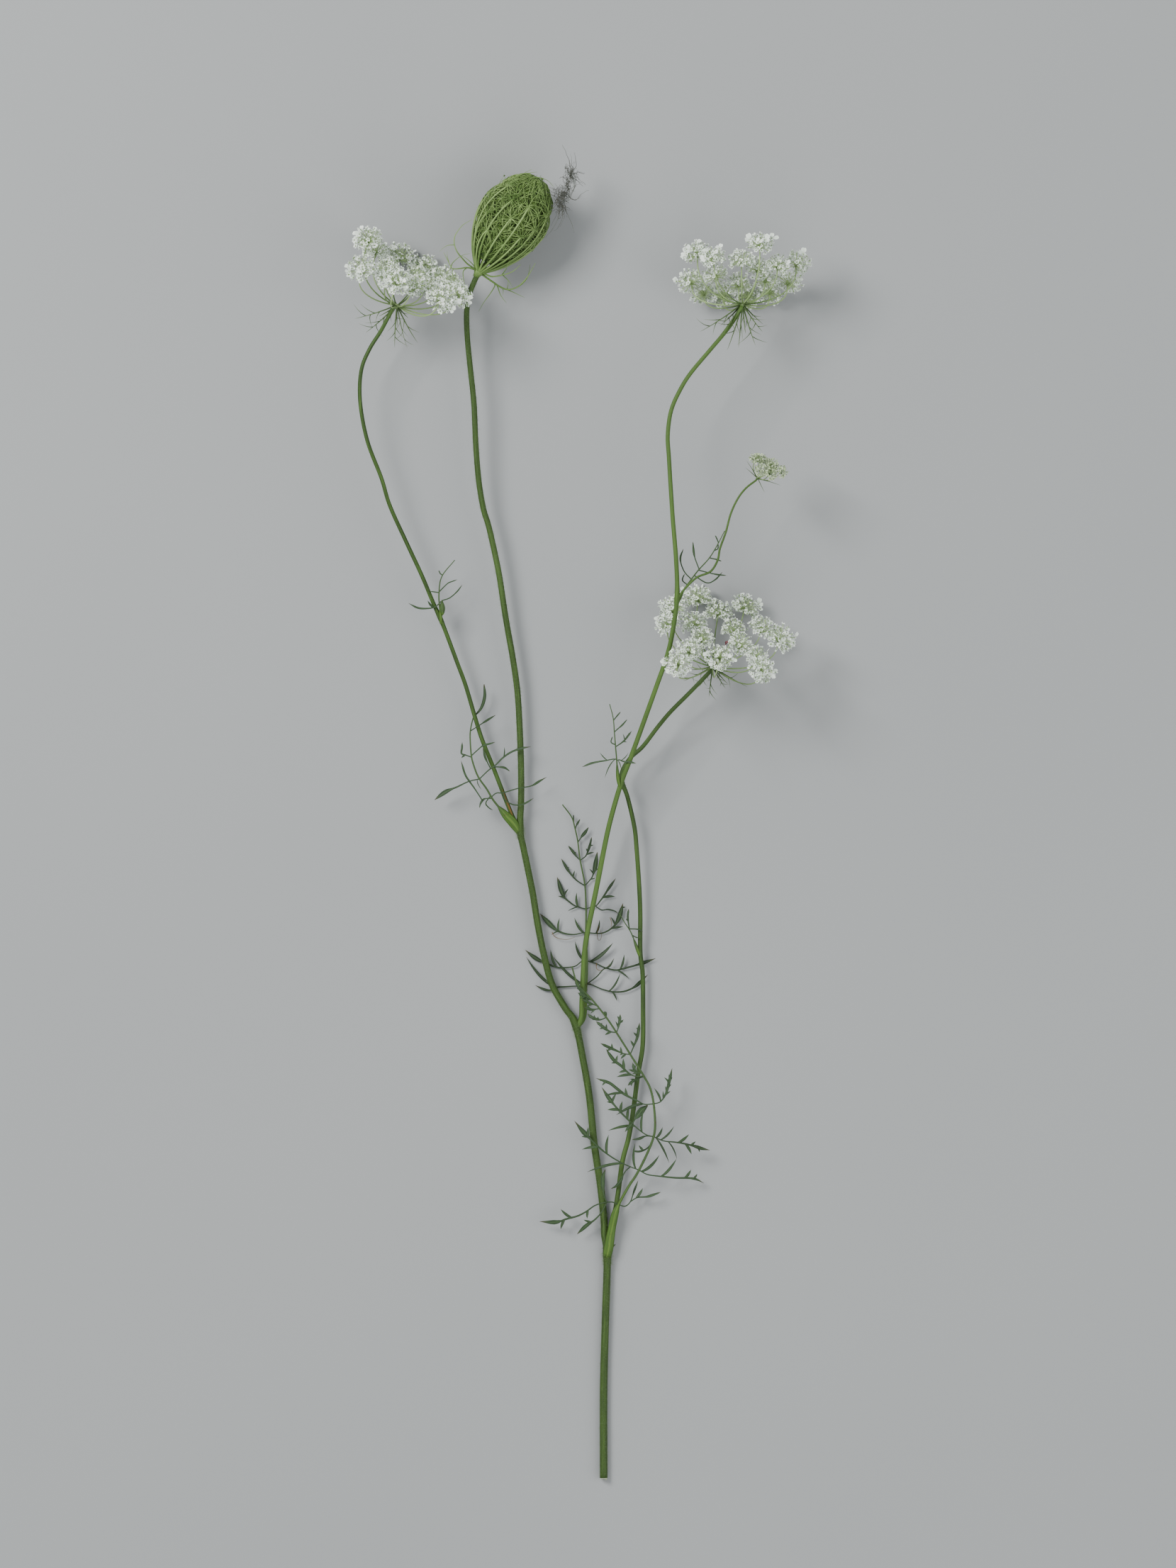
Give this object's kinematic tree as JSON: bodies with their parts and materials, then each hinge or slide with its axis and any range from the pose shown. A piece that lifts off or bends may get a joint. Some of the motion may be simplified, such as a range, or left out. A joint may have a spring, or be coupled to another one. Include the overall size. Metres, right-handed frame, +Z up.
{
  "type": "queen anne's lace stem",
  "caption": "Cut flowering stem of wild carrot that lies flat: a branching stem with flat white lacy umbels, a small young umbel, a closed nest-shaped seed head and fern-like leaves.",
  "frame": {"origin": "middle of the footprint, on the surface that the stem lies on", "axes": "+Y along the stem from its cut end to the flower heads, +X to the right, +Z up from the surface"},
  "size_m": [0.1953, 0.5656, 0.0522],
  "materials": {
    "stem_green": "satin",
    "branch_green": "satin",
    "leaf_green": "matte",
    "ray_green": "satin",
    "petal_white": "matte",
    "petal_young": "matte",
    "nest_green": "satin",
    "withered_grey": "matte"
  },
  "bodies": {
    "root": {"main_stem": "stem_green", "branch_lower": "branch_green", "branch_middle": "branch_green", "branch_upper": "branch_green", "twig": "branch_green", "leaf_lower": "leaf_green", "leaf_middle": "leaf_green", "leaf_upper": "leaf_green", "leaf_bud": "leaf_green", "leaf_fork": "leaf_green", "leaf_twig": "leaf_green", "leaf_small": "leaf_green", "left_umbel_rays": "ray_green", "left_umbel_florets": "petal_white", "right_umbel_rays": "ray_green", "right_umbel_florets": "petal_white", "lower_umbel_rays": "ray_green", "lower_umbel_florets": "petal_white", "small_umbel_rays": "ray_green", "small_umbel_florets": "petal_young", "seed_head": "nest_green", "withered_tuft": "withered_grey"}
  },
  "joints": []
}
